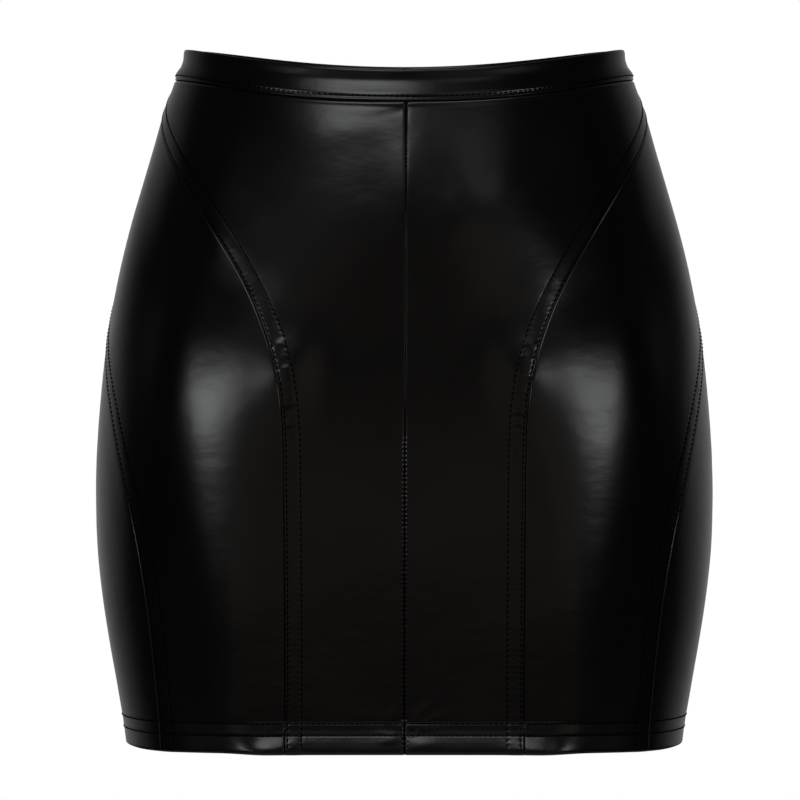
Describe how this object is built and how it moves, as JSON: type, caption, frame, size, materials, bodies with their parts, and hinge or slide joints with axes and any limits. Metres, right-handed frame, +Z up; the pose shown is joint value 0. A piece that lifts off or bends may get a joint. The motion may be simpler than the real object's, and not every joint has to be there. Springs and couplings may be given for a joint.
{
  "type": "leather mini skirt",
  "caption": "Short fitted skirt in black coated cloth with curved panel seams and a narrow folded waistband, in its hollow worn form.",
  "frame": {"origin": "centre of the waist opening, level with the top edge of the waistband at the two sides", "axes": "+Z up out of the waist, the front of the skirt faces -Y, and the wearer's left side is at +X"},
  "size_m": [0.3448, 0.2262, 0.3885],
  "materials": {
    "coated_leather": "satin",
    "knit_backing": "matte",
    "thread": "satin"
  },
  "bodies": {
    "root": {"waistband": "coated_leather", "front_left": "coated_leather", "front_right": "coated_leather", "side_left": "coated_leather", "side_right": "coated_leather", "back_left": "coated_leather", "back_right": "coated_leather"}
  },
  "joints": []
}
